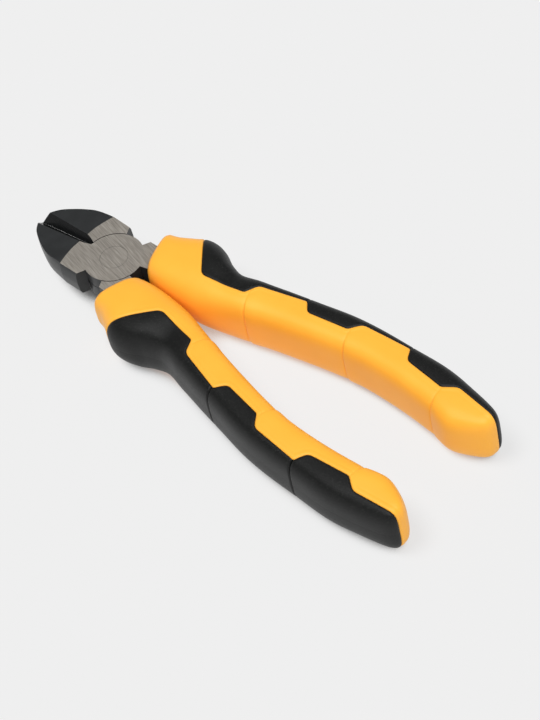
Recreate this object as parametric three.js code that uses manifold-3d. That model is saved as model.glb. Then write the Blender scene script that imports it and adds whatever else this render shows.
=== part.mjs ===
// Diagonal cutting pliers, about 203 mm long, lying flat with the jaws closed.
// Millimetres. The pivot axis is Z through the origin, +Y runs to the jaw tips, +Z is up.
// Shapes are made about the mid-plane of the joint and then raised, so the origin is on the lower
// joint face. The upper lever has the left jaw, the upper half of the lap joint and the right handle;
// the lower lever has the right jaw, the lower half and the left handle.

import * as THREE from "three";
import { mergeVertices } from "three/addons/utils/BufferGeometryUtils.js";
import Module from "manifold-3d";

const wasm = await Module();
wasm.setup();

// Clearances
const gap = 0.3;
const jawGap = 0.16;
const rivetClearance = 0.08;
const overcut = 1;

// Head
const headThickness = 10.8;
const discRadius = 11.3;
const jawHalfWidth = 13.65;
const shoulderY = 5.65;
const shoulderAngle = 24.7;
const jawLength = 40.6;
const jawWallBulge = 0.7;
const jawWallFlat = 1;
const faceSlope = 0.175;
const faceSlopeStart = 16.2;
const backSlope = 0.06;
const backSlopeStart = 24;

// Jaw flank from the shoulder to the tip: share of the half width, share of the way to the tip
const jawFlank = [[1.01, 0.24], [0.93, 0.46], [0.806, 0.605], [0.63, 0.748], [0.388, 0.891], [0, 1]];

// Cutting edges: height at the start of the face slope, fall toward the tip, bevels and their mouths
const edgeStartHeight = 3.1;
const edgeFall = 0.23;
const frontBevel = 0.85;
const backBevel = 0.58;
const throatHalfWidth = 0.6;
const frontMouthHalfWidth = 2.3;
const backMouthHalfWidth = 5.2;
const backMouthY = 20;

// Pivot rivet
const rivetRadius = 4;
const rivetHeadRadius = 5.2;
const rivetHeadDepth = 1.2;

// Necks and tangs
const neckCornerX = 13.2;
const neckCornerY = -5.9;
const neckFrontAngle = 27.4;
const neckInnerFront = 2.6;
const neckInnerKnee = [3.8, -15.5];
const neckEnd = 24;
const neckOuterEnd = 13.8;
const neckInnerEnd = 5.2;
const tangStart = 20;
const tangEnd = 120;
const tangHalfStart = 4.3;
const tangHalfEnd = 3;
const tangThickness = 6;

// Grips: stations count millimetres behind the pivot
const gripFront = 12.2;
const gripEnd = 161.8;
const gripFrontRound = 2.6;
const gripEndRoundLength = 8;
const gripEndNarrowing = 0.7;
const gripEndThinning = 0.55;
const gripRoundness = 2.8;
const grooveDepth = 0.45;
const grooveReach = 1.6;
const grooveStations = [56.5, 97, 139];
const padDepth = 2;
const padTail = 6;
const padJoints = [75.2, 118.8];
const padJointGap = 0.4;

// Inner edge, outer edge, half thickness and slant of a grip: [station, size] at the places that shape it.
// All stations in these tables, and of the grooves, pad joints and border, stretch with the grip's length.
const gripInner = [[12.2, 2.2], [22, 0.8], [32, 1.4], [42, 3], [58, 6.9], [78, 11.7], [100, 15.8],
  [119, 16], [139, 14.7], [147, 13.2], [154, 14.8], [161.8, 18.2]];
const gripOuter = [[9, 20.8], [14, 22.2], [19, 25], [24, 27.4], [28, 27.5], [33, 25.4], [38, 22.9],
  [46, 21.9], [56, 23.2], [78, 27.4], [92, 30.7], [104, 32], [119, 32.4], [134, 32.5], [147, 31.3],
  [162, 27.4]];
const gripHalf = [[12, 9.6], [22, 11], [36, 12], [50, 11.9], [64, 11.4], [100, 11.3], [140, 11.2], [162, 10]];
const gripSlant = [[12, 0.33], [57, 0.35], [97, 0.25], [119, 0.1], [139, 0.05], [162, 0]];
const tangCentre = [[20, 9.3], [36, 11.2], [56, 14.5], [78, 19.3], [100, 23.4], [120, 24.3]];

// Border between hard grip and soft pads in plan, from the lobe to the tail: x, station, corner radius
const border = [[31, 17, 0], [17.8, 29.4, 6], [10.8, 37, 2.5], [13.7, 54.8, 0.8], [18.5, 57.4, 1.6],
  [23.6, 75.9, 0.8], [19.9, 79.4, 1.6], [23, 96, 0.8], [27.7, 99.5, 1.6], [29.3, 119.2, 0.8],
  [24.7, 121.9, 1.6], [23, 138.6, 0.8], [26.7, 143.6, 1.6], [26.2, 154, 6], [23.6, 161, 4],
  [23.4, 175, 0]];

// Facets
const ringSides = 22;
const ringSpacing = 6;
const roundSides = 40;
const curveSteps = 2;

const top = headThickness / 2;
const drawnFront = gripInner[0][0];
const drawnEnd = gripInner[gripInner.length - 1][0];
const stretch = (gripEnd - gripFront) / (drawnEnd - drawnFront);
const throatY = discRadius + jawGap;
const beyond = 2 * gripEnd;

function toSolid(geometry) {
  geometry.deleteAttribute("normal");
  geometry.deleteAttribute("uv");
  const merged = mergeVertices(geometry, 1e-4);
  return new wasm.Manifold(new wasm.Mesh({
    numProp: 3,
    vertProperties: new Float32Array(merged.attributes.position.array),
    triVerts: new Uint32Array(merged.index.array),
  }));
}

function toGeometry(solid) {
  const mesh = solid.getMesh();
  const geometry = new THREE.BufferGeometry();
  geometry.setAttribute("position", new THREE.BufferAttribute(new Float32Array(mesh.vertProperties), 3));
  geometry.setIndex(new THREE.BufferAttribute(new Uint32Array(mesh.triVerts), 1));
  geometry.computeVertexNormals();
  return geometry;
}

function slab(shape, low, high) {
  const geometry = new THREE.ExtrudeGeometry(shape, {
    depth: high - low, bevelEnabled: false, curveSegments: curveSteps,
  });
  geometry.translate(0, 0, low);
  return toSolid(geometry);
}

function polygon(points) {
  return new THREE.Shape(points.map(([x, y]) => new THREE.Vector2(x, y)));
}

function cylinder(radius, low, high) {
  const geometry = new THREE.CylinderGeometry(radius, radius, high - low, roundSides);
  geometry.rotateX(Math.PI / 2);
  geometry.translate(0, 0, (low + high) / 2);
  return toSolid(geometry);
}

// A large block whose face passes through the point; it lies on the side the normal points to
function halfSpace(point, normal) {
  const geometry = new THREE.BoxGeometry(beyond, beyond, beyond);
  geometry.translate(0, 0, beyond / 2);
  const direction = new THREE.Vector3(...normal).normalize();
  geometry.applyQuaternion(new THREE.Quaternion().setFromUnitVectors(new THREE.Vector3(0, 0, 1), direction));
  geometry.translate(...point);
  return toSolid(geometry);
}

// Real station of one that is drawn in the tables
function stretched(drawn) {
  return gripFront + (drawn - drawnFront) * stretch;
}

// Smooth value at a real station through the drawn [station, size] pairs
function along(keys, station) {
  const drawn = drawnFront + (station - gripFront) / stretch;
  let i = 0;
  while (i < keys.length - 2 && drawn > keys[i + 1][0]) i += 1;
  const [s1, v1] = keys[i];
  const [s2, v2] = keys[i + 1];
  const [s0, v0] = keys[Math.max(i - 1, 0)];
  const [s3, v3] = keys[Math.min(i + 2, keys.length - 1)];
  const m1 = (v2 - v0) / (s2 - s0) * (s2 - s1);
  const m2 = (v3 - v1) / (s3 - s1) * (s2 - s1);
  const t = THREE.MathUtils.clamp((drawn - s1) / (s2 - s1), 0, 1);
  const t2 = t * t;
  const t3 = t2 * t;
  return v1 * (2 * t3 - 3 * t2 + 1) + m1 * (t3 - 2 * t2 + t) + v2 * (3 * t2 - 2 * t3) + m2 * (t3 - t2);
}

function mirrored(solid) {
  return solid.mirror([1, 0, 0]);
}

// Space a bevel may cut in plan: it widens from the throat to the given point and on from there
function mouth(halfWidth, y) {
  const wide = polygon([[-beyond, throatY - overcut], [throatHalfWidth, throatY], [halfWidth, y],
    [beyond, y + beyond], [-beyond, y + beyond]]);
  return slab(wide, -beyond, beyond);
}

// Right jaw before it joins a half of the lap: curved flank, sloping faces and both bevels
function rightJaw() {
  const inside = discRadius / 4;
  const flank = jawFlank.map(([wide, long]) => new THREE.Vector2(
    wide * jawHalfWidth, shoulderY + long * (jawLength - shoulderY)));
  const shape = new THREE.Shape();
  shape.moveTo(-inside, inside);
  shape.lineTo(inside, 0);
  shape.lineTo(jawHalfWidth, shoulderY);
  shape.lineTo(flank[0].x, flank[0].y);
  shape.splineThru(flank.slice(1));
  shape.lineTo(-inside, jawLength);
  const geometry = new THREE.ExtrudeGeometry(shape, {
    depth: jawWallFlat, curveSegments: 5 * curveSteps, bevelEnabled: true, bevelSegments: 2,
    bevelThickness: top - jawWallFlat / 2, bevelSize: jawWallBulge,
  });
  geometry.translate(0, 0, -jawWallFlat / 2);
  const turn = THREE.MathUtils.degToRad(shoulderAngle);
  const edge = [jawGap / 2, faceSlopeStart, edgeStartHeight];
  const frontMouth = mouth(frontMouthHalfWidth, faceSlopeStart);
  const backMouth = mouth(backMouthHalfWidth, backMouthY);
  const front = halfSpace(edge, [-1, frontBevel * edgeFall, frontBevel]).intersect(frontMouth);
  const back = halfSpace(edge, [-1, -backBevel * edgeFall, -backBevel]).intersect(backMouth);
  return toSolid(geometry)
    .subtract(halfSpace([jawGap / 2, 0, 0], [-1, 0, 0]))
    .subtract(halfSpace([jawHalfWidth, shoulderY, 0], [Math.sin(turn), -Math.cos(turn), 0]))
    .subtract(halfSpace([0, faceSlopeStart, top], [0, faceSlope, 1]))
    .subtract(halfSpace([0, backSlopeStart, -top], [0, backSlope, -1]))
    .subtract(front)
    .subtract(back);
}

function tangShape(clearance) {
  const steps = 10;
  const outer = [];
  const inner = [];
  for (let i = 0; i <= steps; i += 1) {
    const part = i / steps;
    const station = tangStart + (tangEnd - tangStart) * part + (i === steps ? clearance : 0);
    const half = tangHalfStart + (tangHalfEnd - tangHalfStart) * part + clearance;
    const centre = along(tangCentre, station);
    outer.push([centre + half, -station]);
    inner.unshift([centre - half, -station]);
  }
  return polygon([...outer, ...inner]);
}

function neckShape(clearance) {
  const slant = Math.tan(THREE.MathUtils.degToRad(neckFrontAngle));
  const inside = discRadius / 4;
  const leave = -Math.sqrt(discRadius ** 2 - neckInnerFront ** 2);
  return polygon([
    [inside, neckCornerY + (neckCornerX - inside) * slant],
    [neckCornerX, neckCornerY],
    [neckCornerX + clearance, neckCornerY - overcut],
    [neckOuterEnd + clearance, -neckEnd - clearance],
    [neckInnerEnd - clearance, -neckEnd - clearance],
    [neckInnerKnee[0] - clearance, neckInnerKnee[1]],
    [neckInnerFront - clearance, leave],
    [inside / 3, -discRadius / 3],
  ]);
}

// Right neck and tang; the clearance makes the larger copy that hollows the grip
function rightShank(clearance) {
  return slab(neckShape(clearance), -top - clearance, top + clearance)
    .add(slab(tangShape(clearance), -tangThickness / 2 - clearance, tangThickness / 2 + clearance));
}

function rivetSolid(clearance) {
  const r = rivetRadius + clearance;
  const head = rivetHeadRadius + clearance;
  const points = [[0, -top], [head, -top], [r, -top + rivetHeadDepth], [r, top - rivetHeadDepth],
    [head, top], [0, top]].map(([x, y]) => new THREE.Vector2(x, y));
  const geometry = new THREE.LatheGeometry(points, roundSides);
  geometry.rotateX(Math.PI / 2);
  return toSolid(geometry);
}

// One lever: jaw, half disc and shank; lapSide is 1 for the upper half and -1 for the lower
function leverSolid(jaw, shank, lapSide) {
  const own = lapSide > 0 ? [gap / 2, top] : [-top, -gap / 2];
  const other = lapSide > 0 ? [-top - overcut, gap / 2] : [-gap / 2, top + overcut];
  return jaw.add(shank)
    .subtract(cylinder(discRadius + gap, ...other))
    .add(cylinder(discRadius, ...own))
    .subtract(rivetSolid(rivetClearance));
}

function grooveAt(station) {
  let depth = 0;
  for (const groove of grooveStations.map(stretched)) {
    const away = Math.abs(station - groove) / grooveReach;
    if (away < 1) depth = grooveDepth * (1 - away);
  }
  return depth;
}

function gripStations(front, end) {
  const list = [];
  for (let i = 0; i < 4; i += 1) list.push(front + gripFrontRound * (1 - Math.cos(i / 4 * Math.PI / 2)));
  for (let i = 0; i < 5; i += 1) list.push(end - gripEndRoundLength * (1 - Math.cos(i / 5 * Math.PI / 2)));
  for (const groove of grooveStations.map(stretched)) {
    const near = [groove - grooveReach, groove, groove + grooveReach];
    if (near[0] > front + gripFrontRound && near[2] < end - gripEndRoundLength) list.push(...near);
  }
  for (let s = front + gripFrontRound; s < end - gripEndRoundLength; s += ringSpacing) {
    if (list.every((other) => Math.abs(other - s) > ringSpacing / 4)) list.push(s);
  }
  return list.sort((a, b) => a - b);
}

// Edge rounding taken off the section near the front
function frontRound(station, front) {
  const part = THREE.MathUtils.clamp(1 - (station - front) / gripFrontRound, 0, 1);
  return gripFrontRound * (1 - Math.sqrt(1 - part * part));
}

// How far the tail has closed at a station, from 0 to 1
function tailRound(station, end) {
  const part = THREE.MathUtils.clamp(1 - (end - station) / gripEndRoundLength, 0, 1);
  return 1 - Math.sqrt(1 - part * part);
}

// Right grip body as rings of a rounded section; inset shrinks it on all sides, and more at the tail
function gripBody(inset, tailInset = inset) {
  const front = gripFront + inset;
  const end = gripEnd - tailInset;
  const stations = gripStations(front, end);
  const points = [];
  for (const station of stations) {
    const slant = along(gripSlant, station);
    const reach = slant * (along(gripOuter, station) - along(gripInner, station)) / 2;
    const inner = along(gripInner, station + reach);
    const outer = along(gripOuter, station - reach);
    const centre = (inner + outer) / 2;
    const off = inset + frontRound(station, front);
    const close = tailRound(station, end);
    const halfWide = ((outer - inner) / 2 - off) * (1 - gripEndNarrowing * close);
    const halfHigh = (along(gripHalf, station) - off) * (1 - gripEndThinning * close);
    for (let i = 0; i < ringSides; i += 1) {
      const angle = i / ringSides * Math.PI * 2;
      const c = Math.cos(angle);
      const s = Math.sin(angle);
      const dip = 1 - grooveAt(station) * THREE.MathUtils.clamp(0.5 - 2 * c, 0, 1) / halfHigh;
      const across = halfWide * dip * Math.sign(c) * Math.abs(c) ** (2 / gripRoundness);
      const up = halfHigh * dip * Math.sign(s) * Math.abs(s) ** (2 / gripRoundness);
      points.push(centre + across, -station + slant * across, up);
    }
  }
  const rings = stations.length;
  const faces = [];
  for (let r = 0; r < rings - 1; r += 1) {
    for (let i = 0; i < ringSides; i += 1) {
      const a = r * ringSides + i;
      const b = r * ringSides + (i + 1) % ringSides;
      faces.push(a, b, a + ringSides, b, b + ringSides, a + ringSides);
    }
  }
  const last = (rings - 1) * ringSides;
  for (let i = 1; i < ringSides - 1; i += 1) {
    faces.push(0, i + 1, i, last, last + i, last + i + 1);
  }
  const geometry = new THREE.BufferGeometry();
  geometry.setAttribute("position", new THREE.Float32BufferAttribute(points, 3));
  geometry.setIndex(faces);
  return toSolid(geometry);
}

// Border line moved sideways by a clearance, with its corners rounded, closed far outside the grip
function padRegion(clearance) {
  const corners = border.map(([x, station]) => new THREE.Vector2(x, -stretched(station)));
  const last = corners.length - 1;
  const moved = corners.map((corner, i) => {
    const back = corner.clone().sub(corners[Math.max(i - 1, 0)]).normalize();
    const ahead = corners[Math.min(i + 1, last)].clone().sub(corner).normalize();
    const one = i === 0 ? ahead : back;
    const two = i === last ? back : ahead;
    const side = new THREE.Vector2(one.y + two.y, -one.x - two.x).normalize();
    const miter = clearance / side.dot(new THREE.Vector2(two.y, -two.x));
    return { point: corner.clone().addScaledVector(side, miter), radius: border[i][2] };
  });
  const shape = new THREE.Shape();
  shape.moveTo(moved[0].point.x, moved[0].point.y);
  for (let i = 1; i < moved.length - 1; i += 1) {
    const { point, radius } = moved[i];
    const start = point.clone().lerp(moved[i - 1].point, radius / point.distanceTo(moved[i - 1].point));
    const finish = point.clone().lerp(moved[i + 1].point, radius / point.distanceTo(moved[i + 1].point));
    shape.lineTo(start.x, start.y);
    shape.quadraticCurveTo(point.x, point.y, finish.x, finish.y);
  }
  const end = moved[last].point;
  shape.lineTo(end.x, end.y);
  shape.lineTo(beyond, end.y);
  shape.lineTo(beyond, moved[0].point.y);
  return slab(shape, -beyond, beyond);
}

// Everything between two stations
function band(low, high) {
  const strip = polygon([[-beyond, -high], [beyond, -high], [beyond, -low], [-beyond, -low]]);
  return slab(strip, -beyond, beyond);
}

const body = gripBody(0);
const skin = body.subtract(gripBody(padDepth, padTail));
const seat = gripBody(padDepth + gap, padTail + gap);
const pocket = gripBody(-overcut).subtract(seat).intersect(padRegion(gap));
const rightCore = body.subtract(pocket).subtract(rightShank(gap));
const softSkin = skin.intersect(padRegion(0));
const cuts = [0, ...padJoints.map(stretched), beyond];
const rightPads = [];
for (let i = 0; i < cuts.length - 1; i += 1) {
  rightPads.push(softSkin.intersect(band(cuts[i] + padJointGap / 2, cuts[i + 1] - padJointGap / 2)));
}

const jaw = rightJaw();
const shank = rightShank(0);
const pliers = new THREE.Group();
pliers.name = "cutting_pliers";
pliers.position.z = top;

function place(name, solid, colour, roughness, metalness) {
  const material = new THREE.MeshStandardMaterial({ color: colour, roughness, metalness });
  const mesh = new THREE.Mesh(toGeometry(solid), material);
  mesh.name = name;
  pliers.add(mesh);
}

const steel = [0x8c8880, 0.42, 0.9];
const hardYellow = [0xf7a823, 0.42, 0];
const softBlack = [0x2b2c2c, 0.8, 0];

place("lever_upper", leverSolid(mirrored(jaw), shank, 1), ...steel);
place("lever_lower", leverSolid(jaw, mirrored(shank), -1), ...steel);
place("pivot_rivet", rivetSolid(0), 0x9a968e, 0.4, 0.9);
place("grip_core_right", rightCore, ...hardYellow);
place("grip_core_left", mirrored(rightCore), ...hardYellow);
const padNames = ["front", "middle", "rear"];
padNames.forEach((name, i) => {
  place(`soft_pad_right_${name}`, rightPads[i], ...softBlack);
  place(`soft_pad_left_${name}`, mirrored(rightPads[i]), ...softBlack);
});

export default pliers;
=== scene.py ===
"""Looks of a pair of diagonal cutting pliers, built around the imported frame. Metres, +Z up."""

import math

import bmesh
import bpy
import numpy as np
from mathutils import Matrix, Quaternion, Vector


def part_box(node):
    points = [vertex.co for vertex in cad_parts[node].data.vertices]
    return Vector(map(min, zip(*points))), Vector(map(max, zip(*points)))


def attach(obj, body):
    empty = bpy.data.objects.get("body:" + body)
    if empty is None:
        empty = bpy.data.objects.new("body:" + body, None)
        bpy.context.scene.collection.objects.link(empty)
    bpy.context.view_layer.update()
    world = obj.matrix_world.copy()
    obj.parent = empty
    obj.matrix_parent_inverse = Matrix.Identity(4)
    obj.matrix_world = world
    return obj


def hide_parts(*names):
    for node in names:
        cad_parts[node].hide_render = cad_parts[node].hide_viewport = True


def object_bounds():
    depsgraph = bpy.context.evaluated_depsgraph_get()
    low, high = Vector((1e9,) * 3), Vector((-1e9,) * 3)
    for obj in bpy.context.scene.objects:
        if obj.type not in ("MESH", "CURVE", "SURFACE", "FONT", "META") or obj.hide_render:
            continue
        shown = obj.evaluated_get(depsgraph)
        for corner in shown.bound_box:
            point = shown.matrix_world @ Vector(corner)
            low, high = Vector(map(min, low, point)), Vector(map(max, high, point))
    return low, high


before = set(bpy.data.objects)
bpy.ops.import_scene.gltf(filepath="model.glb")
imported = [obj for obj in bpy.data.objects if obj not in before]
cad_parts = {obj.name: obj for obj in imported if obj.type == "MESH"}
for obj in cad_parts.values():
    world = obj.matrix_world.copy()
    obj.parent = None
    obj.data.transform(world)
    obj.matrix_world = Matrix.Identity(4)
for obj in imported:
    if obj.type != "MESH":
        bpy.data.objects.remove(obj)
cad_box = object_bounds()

MM = 0.001

# Grip form in millimetres, close to the CAD's. Stations count millimetres behind the pivot.
GRIP_FRONT = 12.1
GRIP_END = 161.3
FRONT_ROUND = 1.7
TAIL_LENGTH = 6.5
TAIL_WIDTH_POWER = 3.5
TAIL_HEIGHT_POWER = 4.4
PAD_DEPTH = 2.0
PAD_SEAT_GAP = 0.05
PAD_JOINTS = (75.2, 118.8)
GROOVES = (56.5, 97.0, 139.0)

# Inner edge, outer edge, half thickness, squareness of the section and slant of the section, by station
GRIP_INNER = ((12.2, 1.8), (22, 0.6), (32, 0.7), (42, 1.95), (58, 6.5), (78, 11.4), (100, 15.6),
              (119, 16.4), (139, 15.05), (147, 13.35), (153, 15), (161.3, 19.4))
GRIP_OUTER = ((9, 20.1), (14, 21.4), (19, 24.1), (24, 26.7), (28.5, 27.2), (33.5, 26), (38.5, 23.5),
              (46, 22.05), (56, 23.45), (67, 25.75), (78, 27.9), (92, 30.65), (104, 31.85), (119, 32.3),
              (134, 32.7), (147, 31.1), (155, 29.5), (162, 27.3))
GRIP_HALF = ((12, 9.6), (22, 11), (36, 12), (50, 11.9), (64, 11.4), (100, 11.3), (140, 11.2), (162, 10))
GRIP_SQUARENESS = ((12, 3.2), (24, 3), (36, 2.7), (48, 2.9), (58, 3.3), (100, 3.5), (140, 3.4), (162, 3.2))
GRIP_SLANT = ((12, 0.33), (57, 0.35), (97, 0.25), (119, 0.1), (139, 0.05), (162, 0))
MIDDLE_SQUARENESS = 3.2

# Border between hard grip and soft pads in plan: x, station, corner radius
BORDER = ((31, 17.4, 0), (17.8, 29.7, 6), (10, 36.8, 2.2), (13.3, 55.1, 0.8), (18.7, 57.4, 1.6),
          (23.8, 75.9, 0.8), (19.9, 79.4, 1.6), (22.7, 95.9, 0.8), (27.5, 99.3, 1.6), (29.4, 119.2, 0.8),
          (24.6, 121.9, 1.6), (22.9, 138.6, 0.8), (26.6, 143.6, 1.6), (24.8, 160, 3), (22.6, 175, 0))
BEYOND_GRIP = 200.0

# Relief in millimetres against the distance from a line: the lip of the hard grip and the edge of a pad
# beside the border, the creases between pads, and the grooves across the hard grip (front to rear)
LIP_RELIEF = ((0, -0.34), (0.25, -0.08), (0.55, 0.03), (1.0, 0.055), (1.5, 0.03), (1.9, -0.03), (2.6, 0))
PAD_RELIEF = ((0, -0.34), (0.3, -0.1), (0.7, 0), (1.4, 0.02), (2.4, 0))
CREASE_RELIEF = ((0, -0.9), (0.25, -0.42), (0.55, -0.06), (0.9, 0))
GROOVE_RELIEF = ((-4, 0), (-1.6, -0.1), (-0.5, -0.24), (-0.25, -0.4), (0, -0.64), (0.25, -0.28),
                 (0.6, 0.05), (1.1, 0.13), (2.6, 0.15), (6, 0))

# Grooves lose this share where the grip faces up or down, and start this far from the border
GROOVE_TOP_FADE = 0.75
TOP_FACING = (0.7, 0.98)
BORDER_FADE = 0.8

# The hollow behind the lobe (x, station, radius, depth) and the parting line along the pads
LOBE_DIP = (16, 46, 6.5, 1.3)
PARTING_DEPTH = 0.035

# Mesh of a grip: the finest cell, fine cells along a coarse one, the distances from a line within which
# a cell is split twice or once, and how much narrower these bands are beside grooves and parting line
FINE = 0.25
SPLIT = 4
FINE_BAND = 1.3
MIDDLE_BAND = 3.2
GROOVE_BAND_CUT = 0.4
PARTING_BAND_CUT = 0.6
LINE_OVERLAP = 1.0
ON_LINE = 0.002
FRONT_ROWS = 8
TAIL_ROWS = 48
TAIL_CLOSING = 0.998
SECTION_LENGTH = 68
SECTION_SAMPLES = 20001
CORNER_POINTS = 9
STATION_NUDGE = 0.02
SHARE_NUDGE = 0.0006
END_MARGIN = 1e-5
TINY = 1e-12
GRIP_SHARP_ANGLE = 50

# Levers: rounded edges, flat joint faces, and the cutting edges with the bevels that run down to them
EDGE_ROUND = 0.00014
EDGE_STEPS = 2
ROUNDED_ANGLE = 24
LEVER_SHARP_ANGLE = 28
MERGE_DISTANCE = 2e-6
MERGE_ANGLE = 0.4
FLAT_TOLERANCE = 0.00002
FLAT_FACING = 0.999
CUTTING_EDGE_X = 0.0004
CUTTING_EDGE_CLOSING = 0.06
THROAT_Y = 0.012
BEVEL_FACING = (0.25, 0.995)
BEVEL_REACH = 0.006
BLACKENED_FACE, GROUND_FACE, BEVEL_FACE = range(3)

# Materials: tones over one noise (cloud), roughness and bump (height, strength) over another (grain), gloss
# as the specular level. The scale of a noise counts features per metre.
HARD_YELLOW = {
    "tones": ((0.3, (0.97, 0.435, 0.04)), (0.7, (1.0, 0.465, 0.048))),
    "cloud": {"scale": 60, "detail": 3},
    "grain": {"scale": 2600, "detail": 2},
    "gloss": 0.28,
    "roughness": (0.36, 0.46),
    "bump": (0.00003, 0.35),
}
# Grain of the pads, and the black rubber on it: the rubber's brightest tone is painted glints, bright specks
# of light where the grain peaks.
GRAIN_AND_GLINTS = {"scale": 3000, "detail": 3}
SOFT_BLACK_AND_GLINTS = {
    "tones": ((0.4, (0.0035, 0.0038, 0.0037)), (0.6, (0.006, 0.0064, 0.006)), (0.72, (0.032, 0.033, 0.031))),
    "cloud": GRAIN_AND_GLINTS,
    "grain": GRAIN_AND_GLINTS,
    "gloss": 0.24,
    "roughness": (0.38, 0.54),
    "bump": (0.0001, 0.7),
}
OXIDE_BLACK = {
    "tones": ((0.3, (0.0185, 0.0197, 0.0205)), (0.7, (0.0255, 0.027, 0.028))),
    "cloud": {"scale": 180, "detail": 4},
    "grain": {"scale": 3500, "detail": 2},
    "gloss": 0.26,
    "roughness": (0.3, 0.42),
    "bump": (0.00002, 0.4),
}
BEVEL_LINES = {"scale": 1, "stretch": (400, 400, 5000), "detail": 4}
# Cutting bevels: their lines are a ground finish, and their tone, darker than the blackening, is painted shade
# where they face into the gap between the jaws.
BEVEL_SHADED_BLACK = {
    "tones": ((0.3, (0.0045, 0.0048, 0.005)), (0.7, (0.0085, 0.009, 0.0092))),
    "cloud": BEVEL_LINES,
    "grain": BEVEL_LINES,
    "gloss": 0.1,
    "roughness": (0.2, 0.34),
    "bump": (0.00003, 0.4),
}

# Brushed steel, and the arc on the jaws where grinding ends
STEEL_TONES = ((0.28, (0.235, 0.216, 0.191)), (0.5, (0.345, 0.318, 0.281)), (0.72, (0.46, 0.428, 0.383)))
STEEL_LINES = {"scale": 1, "stretch": (4200, 170, 4200), "turn": -12.0, "detail": 6}
STEEL_METALLIC = 0.6
STEEL_ROUGHNESS = (0.38, 0.52)
STEEL_BUMP = (0.00004, 0.5)
GROUND_ARC_Y = 0.0165
GROUND_ARC_BEND = 11.1
GROUND_ARC_BLUR = 0.00012

# Paper: its tone, and the painted shade beside the object as tones against the open share of the sky, outside
# the grips and in the bay between them. The head's painted shadow is a share of the tone, gathered from
# further away.
PAPER_TONE = 0.752
PAPER_UPTAKE = (0.1, 0.1, 0.1)
PAPER_BOUNCE = 0.96
PAPER_ROUGHNESS = 0.9
OPENNESS_SAMPLES = 16
CONTACT_REACH = 0.011
CONTACT_SHADE_TONES = ((0.28, 0.26), (0.36, 0.51), (0.42, 0.63), (0.46, 0.685), (0.5, 0.715), (0.55, 0.74),
                 (0.61, PAPER_TONE))
# In the bay between the grips, inside BAY_X, the painted shade is lighter and tinted warm: a painted bounce of
# light off the yellow grips.
BAY_SHADE_AND_BOUNCE_TONES = ((0.28, (0.6, 0.45, 0.385)), (0.39, (0.74, 0.715, 0.695)), (0.5, (PAPER_TONE,) * 3))
BAY_X = (0.023, 0.016)
# The head's painted shadow: shares of the paper's tone against the open share of the sky within HEAD_REACH,
# fading out behind the head between the two HEAD_Y lines.
HEAD_REACH = 0.03
HEAD_SHADE_SHARES = ((0.2, 0.05), (0.27, 0.1), (0.33, 0.36), (0.38, 0.66), (0.43, 0.86), (0.48, 0.96),
               (0.53, 1.0))
HEAD_Y = (-0.014, -0.05)

# Floor: a flat round sheet that is swept up from its rim
FLOOR_FLAT = 2.5
FLOOR_REACH = 4.0
FLOOR_RISE = 0.8
FLOOR_CORNERS = 96
SWEEP_RINGS = 12

# Camera, with angles in degrees and the lens in millimetres
CAMERA_AZIMUTH = -35.2
CAMERA_ELEVATION = 49.82
CAMERA_ROLL = -14.34
CAMERA_DISTANCE = 0.8548
CAMERA_TARGET = Vector((-0.0033, -0.08365, 0.01644))
CAMERA_LENS = 125.0
CAMERA_NEAR = 0.05

# Lamps, with angles in degrees, and the even light of the room
SOFTBOX = {"azimuth": -35.0, "tilt": 16.0, "width": 78.0, "strength": 3.5}
PAPER_LAMP = {"azimuth": -125.0, "tilt": 18.0, "width": 26.0, "strength": 3.2}
SURROUNDINGS = 0.12

SIDES = {"right": "upper_lever", "left": "lower_lever"}

mid_z = sum(v.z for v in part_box("pivot_rivet")) / 2 / MM
floor_z = cad_box[0].z


# Form of a grip


def along(keys, stations):
    """Smooth value at each station through the (station, size) pairs."""
    s, v = np.array(keys, float).T
    slope = np.gradient(v, s)
    slope[1:-1] = (v[2:] - v[:-2]) / (s[2:] - s[:-2])
    i = np.clip(np.searchsorted(s, stations, side="right") - 1, 0, len(s) - 2)
    step = s[i + 1] - s[i]
    t = np.clip((stations - s[i]) / step, 0, 1)
    start = v[i] * (2 * t**3 - 3 * t**2 + 1) + slope[i] * step * (t**3 - 2 * t**2 + t)
    return start + v[i + 1] * (3 * t**2 - 2 * t**3) + slope[i + 1] * step * (t**3 - t**2)


def turned(cosine, squareness):
    """Cosine or sine of an ellipse drawn out towards the corners of its box."""
    return np.sign(cosine) * np.abs(cosine) ** (2 / squareness)


def section_table():
    """Angles round a section, against the share of the way round from the inner side."""
    angle = np.linspace(math.pi, 3 * math.pi, SECTION_SAMPLES)
    across, up = turned(np.cos(angle), MIDDLE_SQUARENESS), turned(np.sin(angle), MIDDLE_SQUARENESS)
    length = np.concatenate(([0], np.cumsum(np.hypot(np.diff(across), np.diff(up)))))
    return length / length[-1], angle


SECTION = section_table()


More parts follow.
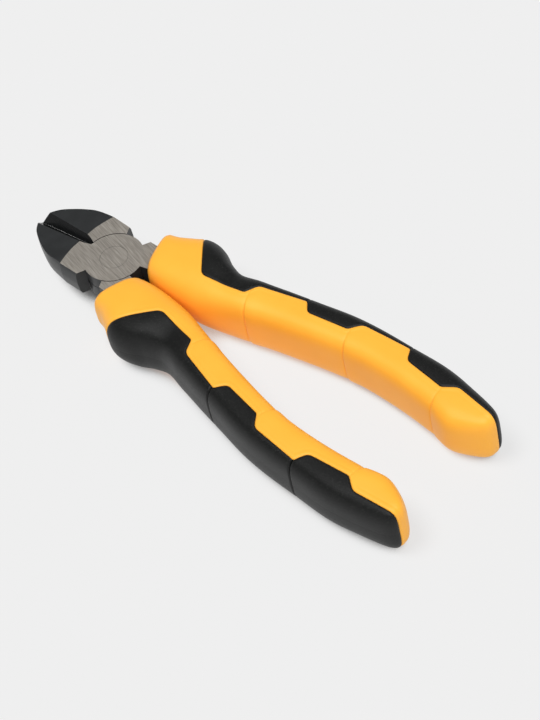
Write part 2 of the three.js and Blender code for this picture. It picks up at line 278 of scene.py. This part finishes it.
def base_points(station, share):
    """Points of the plain right grip, without relief, in millimetres."""
    slant = along(GRIP_SLANT, station)
    reach = slant * (along(GRIP_OUTER, station) - along(GRIP_INNER, station)) / 2
    inner = along(GRIP_INNER, station + reach)
    outer = along(GRIP_OUTER, station - reach)
    front = np.clip(1 - (station - GRIP_FRONT) / FRONT_ROUND, 0, 1)
    off = FRONT_ROUND * (1 - np.sqrt(1 - front**2))
    tail = np.clip(1 - (GRIP_END - station) / TAIL_LENGTH, 0, 1)
    narrowed = (1 - tail**TAIL_WIDTH_POWER) ** (1 / TAIL_WIDTH_POWER)
    thinned = (1 - tail**TAIL_HEIGHT_POWER) ** (1 / TAIL_HEIGHT_POWER)
    half_wide = ((outer - inner) / 2 - off) * narrowed
    half_high = (along(GRIP_HALF, station) - off) * thinned
    angle = np.interp(share % 1, *SECTION)
    squareness = along(GRIP_SQUARENESS, station)
    across = half_wide * turned(np.cos(angle), squareness)
    up = half_high * turned(np.sin(angle), squareness)
    return np.stack([(inner + outer) / 2 + across, -station + slant * across, mid_z + up], -1)


def base_normals(station, share):
    """Outward normals of the plain right grip."""
    first = np.maximum(station - STATION_NUDGE, GRIP_FRONT)
    last = np.minimum(station + STATION_NUDGE, GRIP_END - END_MARGIN)
    along_grip = base_points(last, share) - base_points(first, share)
    around = base_points(station, share + SHARE_NUDGE) - base_points(station, share - SHARE_NUDGE)
    normal = np.cross(around, along_grip)
    return normal / np.maximum(np.linalg.norm(normal, axis=-1, keepdims=True), TINY)


def border_path():
    """The border in plan with its corners rounded, in millimetres."""
    corners = np.array([(x, -station) for x, station, _ in BORDER], float)
    path = [corners[0]]
    for i in range(1, len(corners) - 1):
        corner, radius = corners[i], BORDER[i][2]
        start = corner + (corners[i - 1] - corner) * radius / np.linalg.norm(corners[i - 1] - corner)
        finish = corner + (corners[i + 1] - corner) * radius / np.linalg.norm(corners[i + 1] - corner)
        for t in np.linspace(0, 1, CORNER_POINTS):
            path.append((1 - t) ** 2 * start + 2 * t * (1 - t) * corner + t**2 * finish)
    path.append(corners[-1])
    return np.array(path)


PATH = border_path()


def border_distance(points):
    """Distance to the border in plan, positive on the side of the pads."""
    x, y = points[:, 0], points[:, 1]
    nearest = np.full(len(points), math.inf)
    inside = np.zeros(len(points), bool)
    region = np.vstack([PATH, (BEYOND_GRIP, PATH[-1, 1]), (BEYOND_GRIP, PATH[0, 1])])
    for (ax, ay), (bx, by) in zip(region, np.roll(region, -1, 0)):
        crosses = (ay > y) != (by > y)
        if by != ay:
            inside ^= crosses & (x < (bx - ax) * (y - ay) / (by - ay) + ax)
    for (ax, ay), (bx, by) in zip(PATH[:-1], PATH[1:]):
        length = (bx - ax) ** 2 + (by - ay) ** 2
        if length == 0:
            continue
        t = np.clip(((x - ax) * (bx - ax) + (y - ay) * (by - ay)) / length, 0, 1)
        nearest = np.minimum(nearest, np.hypot(x - ax - t * (bx - ax), y - ay - t * (by - ay)))
    return np.where(inside, nearest, -nearest)


# Mesh of a grip


def grid_stations():
    """Stations of the finest rows: close together round the front edge and the tail."""
    middle_front, middle_end = GRIP_FRONT + FRONT_ROUND, GRIP_END - TAIL_LENGTH
    opening = 1 - np.cos(np.linspace(0, math.pi / 2, FRONT_ROWS + 1))[:-1]
    rows = SPLIT * round((middle_end - middle_front) / FINE / SPLIT)
    middle = np.linspace(middle_front, middle_end, rows + 1)
    closing = np.sin(np.linspace(0, math.pi / 2 * TAIL_CLOSING, TAIL_ROWS + 1))[1:]
    return np.concatenate([GRIP_FRONT + FRONT_ROUND * opening, middle, middle_end + TAIL_LENGTH * closing])


def cell_levels(stations, columns):
    """How often each coarse cell is split: twice beside lines, once a little further away."""
    rows = (len(stations) - 1) // SPLIT
    station = np.repeat(stations[::SPLIT], columns + 1)
    share = np.tile(np.arange(columns + 1) / columns, rows + 1)
    points = base_points(station, share)
    distance = border_distance(points)
    on_pads, on_hard = distance > -LINE_OVERLAP, distance < LINE_OVERLAP
    from_line = np.abs(distance)
    for joint in PAD_JOINTS:
        to_joint = np.abs(points[:, 1] + joint)
        from_line = np.where(on_pads, np.minimum(from_line, to_joint), from_line)
    for groove in GROOVES:
        to_groove = np.abs(station - groove) + GROOVE_BAND_CUT
        from_line = np.where(on_hard, np.minimum(from_line, to_groove), from_line)
    to_parting = np.abs(points[:, 2] - mid_z) + PARTING_BAND_CUT
    from_line = np.where(on_pads, np.minimum(from_line, to_parting), from_line)
    corner = from_line.reshape(rows + 1, columns + 1)
    near = np.minimum.reduce([corner[:-1, :-1], corner[1:, :-1], corner[:-1, 1:], corner[1:, 1:]])
    return np.where(near < FINE_BAND, 2, np.where(near < MIDDLE_BAND, 1, 0))


def graded_grid(levels):
    """Polygons of a grid that wraps round its columns; a cell beside finer ones takes in their corners."""
    columns = levels.shape[1] * SPLIT
    cells = []
    used = set()
    for (row, column), level in np.ndenumerate(levels):
        step = SPLIT >> level
        for r in range(row * SPLIT, (row + 1) * SPLIT, step):
            for c in range(column * SPLIT, (column + 1) * SPLIT, step):
                cells.append((r, c, step))
                for corner in ((r, c), (r + step, c), (r, c + step), (r + step, c + step)):
                    used.add((corner[0], corner[1] % columns))
    order = {point: i for i, point in enumerate(sorted(used))}
    polygons = []
    for r, c, step in cells:
        ring = [(r, c + k) for k in range(step)] + [(r + k, c + step) for k in range(step)]
        ring += [(r + step, c + step - k) for k in range(step)] + [(r + step - k, c) for k in range(step)]
        polygons.append([order[p] for p in ((q[0], q[1] % columns) for q in ring) if p in order])
    for row, backward in ((0, True), (levels.shape[0] * SPLIT, False)):
        ring = [order[row, c] for c in range(columns) if (row, c) in order]
        polygons.append(ring[::-1] if backward else ring)
    return sorted(used), polygons


def divided(polygons, field, cut):
    """Polygons below and above field = 0; cut(a, b) gives the point where the edge a to b crosses it."""
    below, above = [], []
    for polygon in polygons:
        low, high = [], []
        for a, b in zip(polygon, polygon[1:] + polygon[:1]):
            if field[a] <= 0:
                low.append(a)
            if field[a] >= 0:
                high.append(a)
            if field[a] * field[b] < 0:
                point = cut(a, b)
                low.append(point)
                high.append(point)
        for side, kept in ((low, below), (high, above)):
            if len(side) > 2:
                kept.append(side)
    return below, above


def rim(polygons):
    """Directed edges that only one polygon has."""
    edges = {(a, b) for polygon in polygons for a, b in zip(polygon, polygon[1:] + polygon[:1])}
    return [(a, b) for a, b in edges if (b, a) not in edges]


class GripSkin:
    """Outer skin of the right grip as graded polygons, divided along the border and the pad joints."""

    def __init__(self):
        stations = grid_stations()
        columns = round(SECTION_LENGTH / FINE / SPLIT)
        used, self.polygons = graded_grid(cell_levels(stations, columns))
        rows, turns = np.array(used).T
        self.station = list(stations[rows])
        self.share = list(turns / (columns * SPLIT))

    def points(self):
        return base_points(np.array(self.station), np.array(self.share))

    def divide(self, polygons, field, made):
        """Polygons below and above field = 0; made holds the points on cut edges, for a second division."""
        field[np.abs(field) < ON_LINE] = 0

        def cut(a, b):
            key = (min(a, b), max(a, b))
            if key not in made:
                t = field[a] / (field[a] - field[b])
                made[key] = len(self.station)
                self.station.append(self.station[a] + t * (self.station[b] - self.station[a]))
                self.share.append(self.share[a] + t * (self.share[b] - self.share[a]))
            return made[key]

        return divided(polygons, field, cut)

    def behind(self, joint):
        """How far each point lies behind a pad joint."""
        return -self.points()[:, 1] - joint


def lobe_dip(points):
    """The hollow behind the lobe of a grip, as relief."""
    x, station, radius, depth = LOBE_DIP
    away = ((points[:, 0] - x) ** 2 + (points[:, 1] + station) ** 2) / radius**2
    return -depth * np.exp(-away)


def hard_relief(points, normals, distance, station):
    """Relief of the hard grip: its lip, the hollow behind the lobe and the grooves."""
    relief = along(LIP_RELIEF, -distance) + lobe_dip(points)
    start, full = TOP_FACING
    upright = np.clip((np.abs(normals[:, 2]) - start) / (full - start), 0, 1)
    fade = np.clip(-distance / BORDER_FADE, 0, 1) * (1 - GROOVE_TOP_FADE * upright)
    for groove in GROOVES:
        relief = relief + fade * along(GROOVE_RELIEF, station - groove)
    return relief


def soft_relief(points, distance):
    """Relief of the pads: their edges, the creases between them, the hollow and the parting line."""
    relief = along(PAD_RELIEF, distance)
    for joint in PAD_JOINTS:
        crease = along(CREASE_RELIEF, np.abs(points[:, 1] + joint))
        relief = np.minimum(relief, crease + np.maximum(relief, 0))
    parting = np.clip(1 - np.abs(points[:, 2] - mid_z) / FINE, 0, 1)
    fade = np.clip(distance / BORDER_FADE, 0, 1)
    return relief + lobe_dip(points) - PARTING_DEPTH * parting * fade


def closed_piece(name, points, outer, under, inner_polygons, reverse):
    """A closed mesh: outer polygons on points, inner ones on under, and walls along the outer rim."""
    count = len(points)
    faces = [list(p) for p in outer]
    faces += [[i + count for i in (p[::-1] if reverse else p)] for p in inner_polygons]
    faces += [[b, a, a + count, b + count] for a, b in rim(outer)]
    used = sorted({i for face in faces for i in face})
    order = {old: new for new, old in enumerate(used)}
    both = np.vstack([points, under])[used] * MM
    return name, both, [[order[i] for i in face] for face in faces]


def grip_pieces():
    """The hard grip and its three pads on the right side, as (name, points, faces)."""
    skin = GripSkin()
    hard, rest = skin.divide(skin.polygons, border_distance(skin.points()), {})
    pads = []
    for joint in PAD_JOINTS:
        made = {}
        ahead, rest = skin.divide(rest, skin.behind(joint), made)
        pads.append(ahead)
        hard = [p for part in skin.divide(hard, skin.behind(joint), made) for p in part]
    pads.append(rest)
    all_pads = [p for pad in pads for p in pad]

    points, station = skin.points(), np.array(skin.station)
    normals = base_normals(station, np.array(skin.share))
    distance = border_distance(points)
    hard_skin = points + normals * hard_relief(points, normals, distance, station)[:, None]
    soft_skin = points + normals * soft_relief(points, distance)[:, None]
    seat = points - normals * (PAD_DEPTH + PAD_SEAT_GAP)
    under = points - normals * PAD_DEPTH
    pieces = [closed_piece("grip", hard_skin, hard, seat, all_pads, reverse=False)]
    for name, pad in zip(("front", "middle", "rear"), pads):
        pieces.append(closed_piece("pad_" + name, soft_skin, pad, under, pad, reverse=True))
    return pieces


# Materials


def new_material(name):
    material = bpy.data.materials.new(name)
    material.use_nodes = True
    nodes = material.node_tree.nodes
    return material, nodes, material.node_tree.links, nodes["Principled BSDF"]


def object_noise(nodes, links, scale, detail, stretch=(1, 1, 1), turn=0.0):
    """Noise over the object's own place, in features per metre, turned about Z by some degrees."""
    place = nodes.new("ShaderNodeTexCoord")
    mapping = nodes.new("ShaderNodeMapping")
    mapping.vector_type = "TEXTURE"
    mapping.inputs["Rotation"].default_value = (0, 0, math.radians(turn))
    mapping.inputs["Scale"].default_value = [1 / v for v in stretch]
    noise = nodes.new("ShaderNodeTexNoise")
    noise.inputs["Scale"].default_value = scale
    noise.inputs["Detail"].default_value = detail
    links.new(place.outputs["Object"], mapping.inputs["Vector"])
    links.new(mapping.outputs["Vector"], noise.inputs["Vector"])
    return noise.outputs["Fac"]


def object_axes(nodes, links):
    """X, Y and Z of the object's own place."""
    place = nodes.new("ShaderNodeTexCoord")
    split = nodes.new("ShaderNodeSeparateXYZ")
    links.new(place.outputs["Object"], split.inputs["Vector"])
    return split.outputs


def ramp(nodes, links, value, stops):
    """Colour ramp through (position, colour) stops."""
    node = nodes.new("ShaderNodeValToRGB")
    elements = node.color_ramp.elements
    while len(elements) < len(stops):
        elements.new(0.5)
    for element, (position, colour) in zip(elements, stops):
        element.position = position
        element.color = (*colour, 1)
    links.new(value, node.inputs["Fac"])
    return node.outputs["Color"]


def grey_stops(pairs):
    return [(position, (grey, grey, grey)) for position, grey in pairs]


def spread(nodes, links, value, low, high):
    """Value from 0..1 stretched to low..high."""
    node = nodes.new("ShaderNodeMapRange")
    node.inputs["To Min"].default_value = low
    node.inputs["To Max"].default_value = high
    links.new(value, node.inputs["Value"])
    return node.outputs["Result"]


def step_between(nodes, links, value, start, finish):
    """Runs from 0 where the value is at the start to 1 where it is at the finish, and is level beyond them."""
    node = nodes.new("ShaderNodeMapRange")
    node.inputs["From Min"].default_value = start
    node.inputs["From Max"].default_value = finish
    links.new(value, node.inputs["Value"])
    return node.outputs["Result"]


def computed(nodes, links, operation, *values):
    """Result of a Math node on sockets and plain numbers."""
    node = nodes.new("ShaderNodeMath")
    node.operation = operation
    for socket, value in zip(node.inputs, values):
        if isinstance(value, float):
            socket.default_value = value
        else:
            links.new(value, socket)
    return node.outputs["Value"]


def mixed(nodes, links, factor, first, second):
    """First colour where the factor is 0, second where it is 1."""
    node = nodes.new("ShaderNodeMix")
    node.data_type = "RGBA"
    sockets = [s for s in node.inputs if s.enabled]
    for socket, value in zip(sockets, (factor, first, second)):
        links.new(value, socket)
    return next(s for s in node.outputs if s.enabled)


def add_grain(nodes, links, shader, grain, roughness, bump):
    """Roughness and bump that follow a noise."""
    links.new(spread(nodes, links, grain, *roughness), shader.inputs["Roughness"])
    height, strength = bump
    node = nodes.new("ShaderNodeBump")
    node.inputs["Distance"].default_value = height
    node.inputs["Strength"].default_value = strength
    links.new(grain, node.inputs["Height"])
    links.new(node.outputs["Normal"], shader.inputs["Normal"])


def coated(name, tones, cloud, grain, gloss, roughness, bump):
    """A material whose tone follows one noise and whose roughness and bump follow another."""
    material, nodes, links, shader = new_material(name)
    tone = ramp(nodes, links, object_noise(nodes, links, **cloud), tones)
    links.new(tone, shader.inputs["Base Color"])
    shader.inputs["Specular IOR Level"].default_value = gloss
    add_grain(nodes, links, shader, object_noise(nodes, links, **grain), roughness, bump)
    return material


def past_ground_arc(nodes, links):
    """1 ahead of the arc where grinding ends on the jaws and 0 behind it."""
    axes = object_axes(nodes, links)
    square = computed(nodes, links, "MULTIPLY", axes["X"], axes["X"])
    arc = computed(nodes, links, "MULTIPLY_ADD", square, GROUND_ARC_BEND, axes["Y"])
    return step_between(nodes, links, arc, GROUND_ARC_Y - GROUND_ARC_BLUR, GROUND_ARC_Y + GROUND_ARC_BLUR)


def ground_steel():
    """Brushed steel, blackened past the arc where grinding ends."""
    material, nodes, links, shader = new_material("ground_steel")
    past = past_ground_arc(nodes, links)
    lines = object_noise(nodes, links, **STEEL_LINES)
    ground = ramp(nodes, links, lines, STEEL_TONES)
    oxide = ramp(nodes, links, object_noise(nodes, links, **OXIDE_BLACK["cloud"]), OXIDE_BLACK["tones"])
    links.new(mixed(nodes, links, past, ground, oxide), shader.inputs["Base Color"])
    links.new(spread(nodes, links, past, STEEL_METALLIC, 0.0), shader.inputs["Metallic"])
    shader.inputs["Specular IOR Level"].default_value = OXIDE_BLACK["gloss"]
    add_grain(nodes, links, shader, lines, STEEL_ROUGHNESS, STEEL_BUMP)
    return material


def openness(nodes, reach):
    """Share of the sky over a point that nothing within reach covers."""
    node = nodes.new("ShaderNodeAmbientOcclusion")
    node.samples = OPENNESS_SAMPLES
    node.inputs["Distance"].default_value = reach
    return node.outputs["AO"]


def floor_painted_shade(nodes, links):
    """Colour of the paper with painted shade beside the object, and the share of it that the head's painted
    shadow leaves.

    The head stands clear of the paper, so its painted shadow is gathered from further away.
    """
    axes = object_axes(nodes, links)
    behind_head = step_between(nodes, links, axes["Y"], *HEAD_Y)
    between_grips = step_between(nodes, links, computed(nodes, links, "ABSOLUTE", axes["X"]), *BAY_X)
    in_bay = computed(nodes, links, "MULTIPLY", between_grips, behind_head)
    # Painted contact shade from the openness near the object; in the bay it is lighter and warmed by a painted
    # bounce.
    near = openness(nodes, CONTACT_REACH)
    contact_shade = mixed(nodes, links, in_bay, ramp(nodes, links, near, grey_stops(CONTACT_SHADE_TONES)),
                    ramp(nodes, links, near, BAY_SHADE_AND_BOUNCE_TONES))
    # The head's painted shadow, lifted away behind the head.
    open_share = computed(nodes, links, "ADD", openness(nodes, HEAD_REACH), behind_head)
    return contact_shade, ramp(nodes, links, open_share, grey_stops(HEAD_SHADE_SHARES))


def floor_material():
    """Pale glowing paper of an even tone with painted shade beside the object, which also takes up light that
    falls on it.
    """
    material, nodes, links, shader = new_material("floor")
    shader.inputs["Base Color"].default_value = (*PAPER_UPTAKE, 1)
    shader.inputs["Roughness"].default_value = PAPER_ROUGHNESS
    shader.inputs["Specular IOR Level"].default_value = 0.0
    contact_shade, head_shade = floor_painted_shade(nodes, links)
    path = nodes.new("ShaderNodeLightPath")
    shown = path.outputs["Is Camera Ray"]
    for kind in ("Is Glossy Ray", "Is Transmission Ray"):
        shown = computed(nodes, links, "MAXIMUM", shown, path.outputs[kind])
    strength = computed(nodes, links, "MULTIPLY", head_shade, spread(nodes, links, shown, PAPER_BOUNCE, 1.0))
    tone = nodes.new("ShaderNodeEmission")
    links.new(contact_shade, tone.inputs["Color"])
    links.new(strength, tone.inputs["Strength"])
    both = nodes.new("ShaderNodeAddShader")
    links.new(shader.outputs["BSDF"], both.inputs[0])
    links.new(tone.outputs["Emission"], both.inputs[1])
    links.new(both.outputs["Shader"], nodes["Material Output"].inputs["Surface"])
    return material


# Pieces


HARD = coated("hard_yellow", **HARD_YELLOW)
SOFT = coated("soft_black_and_glints", **SOFT_BLACK_AND_GLINTS)
OXIDE = coated("oxide_black", **OXIDE_BLACK)
GROUND = ground_steel()
BEVEL = coated("bevel_shaded_black", **BEVEL_SHADED_BLACK)


def add_object(name, data):
    thing = bpy.data.objects.new(name, data)
    bpy.context.scene.collection.objects.link(thing)
    return thing


def add_mesh(name, points, faces, mirror=False):
    """A smooth mesh object, mirrored in X where it is the left one."""
    if mirror:
        points = points * np.array([-1, 1, 1])
        faces = [face[::-1] for face in faces]
    mesh = bpy.data.meshes.new(name)
    mesh.from_pydata(points.tolist(), [], faces)
    mesh.polygons.foreach_set("use_smooth", [True] * len(mesh.polygons))
    return add_object(name, mesh)


def sharpen(piece, degrees):
    """Edges that turn by more than the angle are shaded sharp."""
    mesh = piece.data
    bm = bmesh.new()
    bm.from_mesh(mesh)
    for edge in bm.edges:
        edge.smooth = edge.calc_face_angle(0) < math.radians(degrees)
    bm.to_mesh(mesh)
    bm.free()


def make_grips():
    for name, points, faces in grip_pieces():
        for side, body in SIDES.items():
            piece = add_mesh(f"{name}_{side}", points, faces, mirror=side == "left")
            sharpen(piece, GRIP_SHARP_ANGLE)
            if name == "grip":
                piece.data.materials.append(HARD)
                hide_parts(f"grip_core_{side}")
            else:
                piece.data.materials.append(SOFT)
                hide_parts(f"soft_{name.replace('_', f'_{side}_')}")
            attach(piece, body)


def cutting(vertex):
    """Whether a vertex lies on a cutting edge."""
    return abs(vertex.co.x) < CUTTING_EDGE_X and vertex.co.y > THROAT_Y


def to_round(edge):
    """Whether an edge turns enough to be rounded and isn't a cutting edge."""
    return edge.calc_face_angle(0) > math.radians(ROUNDED_ANGLE) and not all(map(cutting, edge.verts))


def narrow(face):
    """Whether a face is a strip of a rounded edge."""
    return face.calc_area() < 2 * EDGE_ROUND * max(edge.calc_length() for edge in face.edges)


def on_bevel(face):
    """Whether a face is one of the slopes that run down to the cutting edges."""
    centre = face.calc_center_median()
    sloped = BEVEL_FACING[0] < abs(face.normal.x) < BEVEL_FACING[1]
    return sloped and abs(centre.x) < BEVEL_REACH and centre.y > THROAT_Y


def choose_faces(bm):
    """Give the flat joint faces, their rounded edges and the bevels their materials."""
    low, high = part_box("pivot_rivet")
    for face in bm.faces:
        height = face.calc_center_median().z
        level = min(abs(height - low.z), abs(height - high.z)) < FLAT_TOLERANCE
        flat = abs(face.normal.z) > FLAT_FACING and level
        face.material_index = GROUND_FACE if flat else BEVEL_FACE if on_bevel(face) else BLACKENED_FACE
        face.smooth = not flat
    for face in [f for f in bm.faces if f.material_index == BLACKENED_FACE and narrow(f)]:
        neighbours = [other for edge in face.edges for other in edge.link_faces]
        if any(other.material_index == GROUND_FACE for other in neighbours):
            face.material_index = GROUND_FACE


def make_lever(node, piece_name, body):
    """A lever with small rounded edges, ground on its flat joint faces, blackened elsewhere, and painted
    darker on the cutting bevels as shade.
    """
    bm = bmesh.new()
    bm.from_mesh(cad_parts[node].data)
    bmesh.ops.remove_doubles(bm, verts=bm.verts, dist=MERGE_DISTANCE)
    bmesh.ops.dissolve_limit(bm, angle_limit=math.radians(MERGE_ANGLE), verts=bm.verts, edges=bm.edges)
    edges = [edge for edge in bm.edges if to_round(edge)]
    for vertex in filter(cutting, bm.verts):
        vertex.co.x *= CUTTING_EDGE_CLOSING
    bmesh.ops.bevel(bm, geom=edges, offset=EDGE_ROUND, segments=EDGE_STEPS, profile=0.5, affect="EDGES",
                    clamp_overlap=True)
    choose_faces(bm)
    mesh = bpy.data.meshes.new(piece_name)
    bm.to_mesh(mesh)
    bm.free()
    for material in (OXIDE, GROUND, BEVEL):
        mesh.materials.append(material)
    piece = add_object(piece_name, mesh)
    sharpen(piece, LEVER_SHARP_ANGLE)
    even = piece.modifiers.new("even_normals", "WEIGHTED_NORMAL")
    even.keep_sharp = True
    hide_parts(node)
    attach(piece, body)


def make_rivet():
    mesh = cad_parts["pivot_rivet"].data
    mesh.materials.clear()
    mesh.materials.append(GROUND)


# Stage


def make_floor():
    """A round sheet of paper, flat under the object and swept up far away from it."""
    points = []
    for share in np.linspace(0, 1, SWEEP_RINGS):
        radius = FLOOR_FLAT + (FLOOR_REACH - FLOOR_FLAT) * share
        height = floor_z + FLOOR_RISE * share**2
        for turn in np.arange(FLOOR_CORNERS) * 2 * math.pi / FLOOR_CORNERS:
            points.append((radius * math.cos(turn), radius * math.sin(turn), height))
    faces = [list(range(FLOOR_CORNERS))]
    for ring in range(SWEEP_RINGS - 1):
        start = ring * FLOOR_CORNERS
        outer = start + FLOOR_CORNERS
        for corner in range(FLOOR_CORNERS):
            after = (corner + 1) % FLOOR_CORNERS
            faces.append([start + corner, outer + corner, outer + after, start + after])
    floor = add_mesh("floor", np.array(points), faces)
    floor.data.materials.append(floor_material())
    return floor


def make_camera():
    turn, rise = math.radians(CAMERA_AZIMUTH), math.radians(CAMERA_ELEVATION)
    back = Vector((math.sin(turn) * math.cos(rise), -math.cos(turn) * math.cos(rise), math.sin(rise)))
    camera = add_object("camera", bpy.data.cameras.new("camera"))
    camera.data.lens = CAMERA_LENS
    camera.data.clip_start = CAMERA_NEAR
    camera.rotation_mode = "QUATERNION"
    upright = (-back).to_track_quat("-Z", "Y")
    camera.rotation_quaternion = upright @ Quaternion((0, 0, 1), math.radians(CAMERA_ROLL))
    camera.location = CAMERA_TARGET + back * CAMERA_DISTANCE
    bpy.context.scene.camera = camera


def make_lamp(name, azimuth, tilt, width, strength):
    """A distant lamp of some width, leaning from overhead towards the azimuth."""
    turn, lean = math.radians(azimuth), math.radians(tilt)
    towards = Vector((math.sin(turn) * math.sin(lean), -math.cos(turn) * math.sin(lean), math.cos(lean)))
    sun = bpy.data.lights.new(name, "SUN")
    sun.energy = strength
    sun.angle = math.radians(width)
    lamp = add_object(name, sun)
    lamp.rotation_mode = "QUATERNION"
    lamp.rotation_quaternion = towards.to_track_quat("Z", "Y")
    return lamp


def link_to_floor(lamp, floor, state):
    """Let a lamp light only the floor (INCLUDE) or all but the floor (EXCLUDE)."""
    linked = bpy.data.collections.new(lamp.name)
    linked.objects.link(floor)
    linked.collection_objects[0].light_linking.link_state = state
    lamp.light_linking.receiver_collection = linked


def make_light(floor):
    """A wide softbox overhead for the object and a narrower lamp for the paper, in a dim room."""
    link_to_floor(make_lamp("softbox", **SOFTBOX), floor, "EXCLUDE")
    link_to_floor(make_lamp("paper_lamp", **PAPER_LAMP), floor, "INCLUDE")
    world = bpy.data.worlds.new("studio")
    world.use_nodes = True
    background = world.node_tree.nodes["Background"]
    background.inputs["Color"].default_value = (1, 1, 1, 1)
    background.inputs["Strength"].default_value = SURROUNDINGS
    bpy.context.scene.world = world


make_grips()
make_lever("lever_upper", "lever_upper_finished", "upper_lever")
make_lever("lever_lower", "lever_lower_finished", "lower_lever")
make_rivet()
floor = make_floor()
make_camera()
make_light(floor)
bpy.context.scene.view_settings.view_transform = "Standard"
